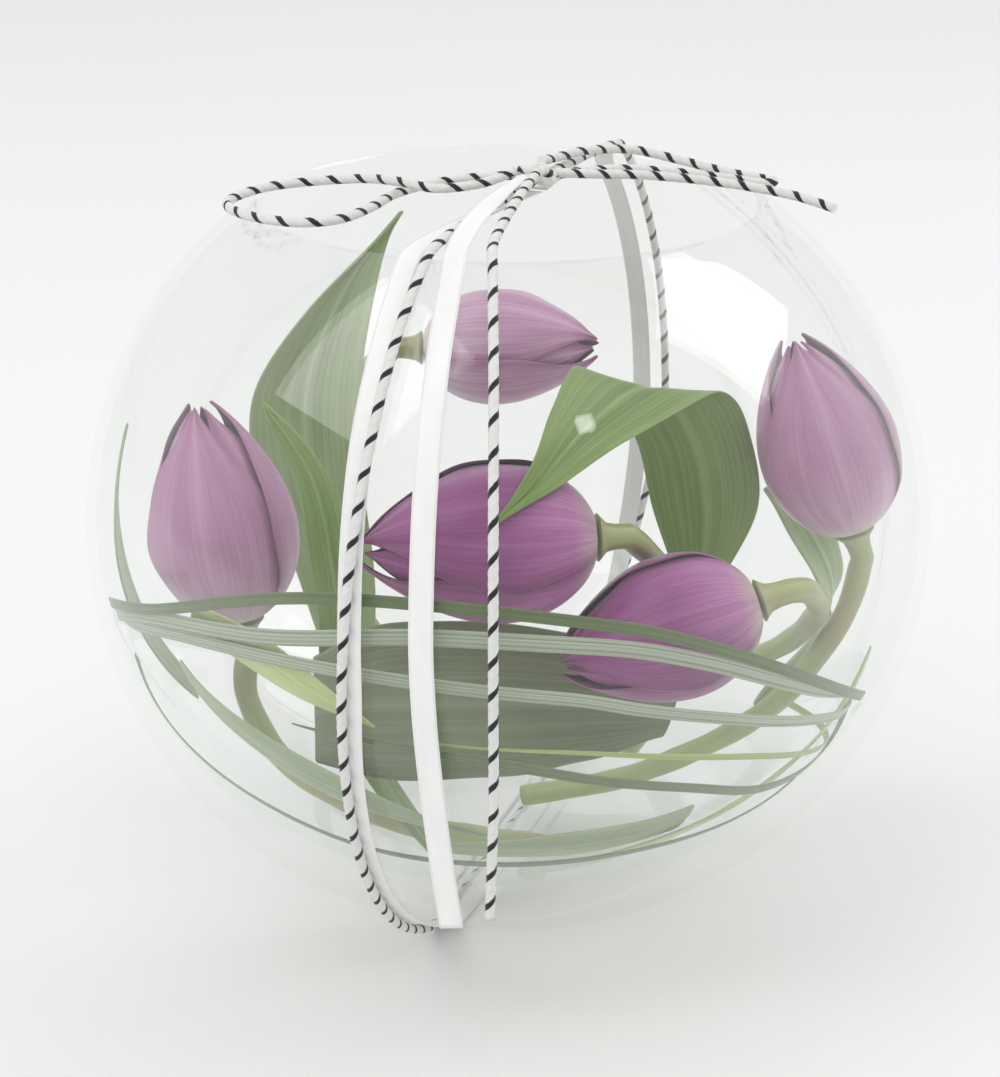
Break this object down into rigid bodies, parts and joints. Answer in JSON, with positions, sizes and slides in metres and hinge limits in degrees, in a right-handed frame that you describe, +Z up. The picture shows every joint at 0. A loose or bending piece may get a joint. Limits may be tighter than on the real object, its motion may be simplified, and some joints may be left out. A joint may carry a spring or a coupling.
{
  "type": "tulips in a glass bowl vase",
  "caption": "Cut tulips with leaves and grass blades in a round glass bowl vase, tied with satin ribbon and a striped twine bow.",
  "frame": {"origin": "centre of the bowl's flat foot, on the surface it stands on", "axes": "+Z up along the bowl's axis; the front, with the hanging ribbon and twine ends, faces -Y; +X to its right"},
  "size_m": [0.1998, 0.2025, 0.1788],
  "materials": {
    "glass": "clear polished",
    "satin_ribbon": "satin sheen",
    "striped_twine": "soft cotton, white with a black strand",
    "grass_blade": "ribbed leaf",
    "tulip_leaf": "waxy leaf",
    "tulip_stem": "smooth stem",
    "petal_pale": "soft petal",
    "petal_deep": "silky petal"
  },
  "bodies": {
    "root": {"glass_bowl": "glass", "grass_blade_1": "grass_blade", "grass_blade_2": "grass_blade", "grass_blade_3": "grass_blade", "grass_blade_4": "grass_blade", "grass_blade_5": "grass_blade", "grass_blade_6": "grass_blade", "leaf_back_left": "tulip_leaf", "leaf_bottom_front": "tulip_leaf", "leaf_curled": "tulip_leaf", "leaf_left_edge": "tulip_leaf", "leaf_low_left": "tulip_leaf", "leaf_low_right": "tulip_leaf", "leaf_thin_front_left": "tulip_leaf", "leaf_under_right": "tulip_leaf", "leaf_wide_low": "tulip_leaf", "leaf_yellow_pointed": "tulip_leaf", "ribbon_tail": "satin_ribbon", "ribbon_wrap": "satin_ribbon", "tulip_back_petal_inner_1": "petal_pale", "tulip_back_petal_inner_2": "petal_pale", "tulip_back_petal_inner_3": "petal_pale", "tulip_back_petal_outer_1": "petal_pale", "tulip_back_petal_outer_2": "petal_pale", "tulip_back_petal_outer_3": "petal_pale", "tulip_back_stem": "tulip_stem", "tulip_centre_petal_inner_1": "petal_deep", "tulip_centre_petal_inner_2": "petal_deep", "tulip_centre_petal_inner_3": "petal_deep", "tulip_centre_petal_outer_1": "petal_deep", "tulip_centre_petal_outer_2": "petal_deep", "tulip_centre_petal_outer_3": "petal_deep", "tulip_centre_stem": "tulip_stem", "tulip_front_right_petal_inner_1": "petal_deep", "tulip_front_right_petal_inner_2": "petal_deep", "tulip_front_right_petal_inner_3": "petal_deep", "tulip_front_right_petal_outer_1": "petal_deep", "tulip_front_right_petal_outer_2": "petal_deep", "tulip_front_right_petal_outer_3": "petal_deep", "tulip_front_right_stem": "tulip_stem", "tulip_left_petal_inner_1": "petal_pale", "tulip_left_petal_inner_2": "petal_pale", "tulip_left_petal_inner_3": "petal_pale", "tulip_left_petal_outer_1": "petal_pale", "tulip_left_petal_outer_2": "petal_pale", "tulip_left_petal_outer_3": "petal_pale", "tulip_left_stem": "tulip_stem", "tulip_right_petal_inner_1": "petal_pale", "tulip_right_petal_inner_2": "petal_pale", "tulip_right_petal_inner_3": "petal_pale", "tulip_right_petal_outer_1": "petal_pale", "tulip_right_petal_outer_2": "petal_pale", "tulip_right_petal_outer_3": "petal_pale", "tulip_right_stem": "tulip_stem", "twine_knot": "striped_twine", "twine_loop_left": "striped_twine", "twine_loop_right": "striped_twine", "twine_tail_front": "striped_twine", "twine_tail_right": "striped_twine", "twine_wrap": "striped_twine"}
  },
  "joints": []
}
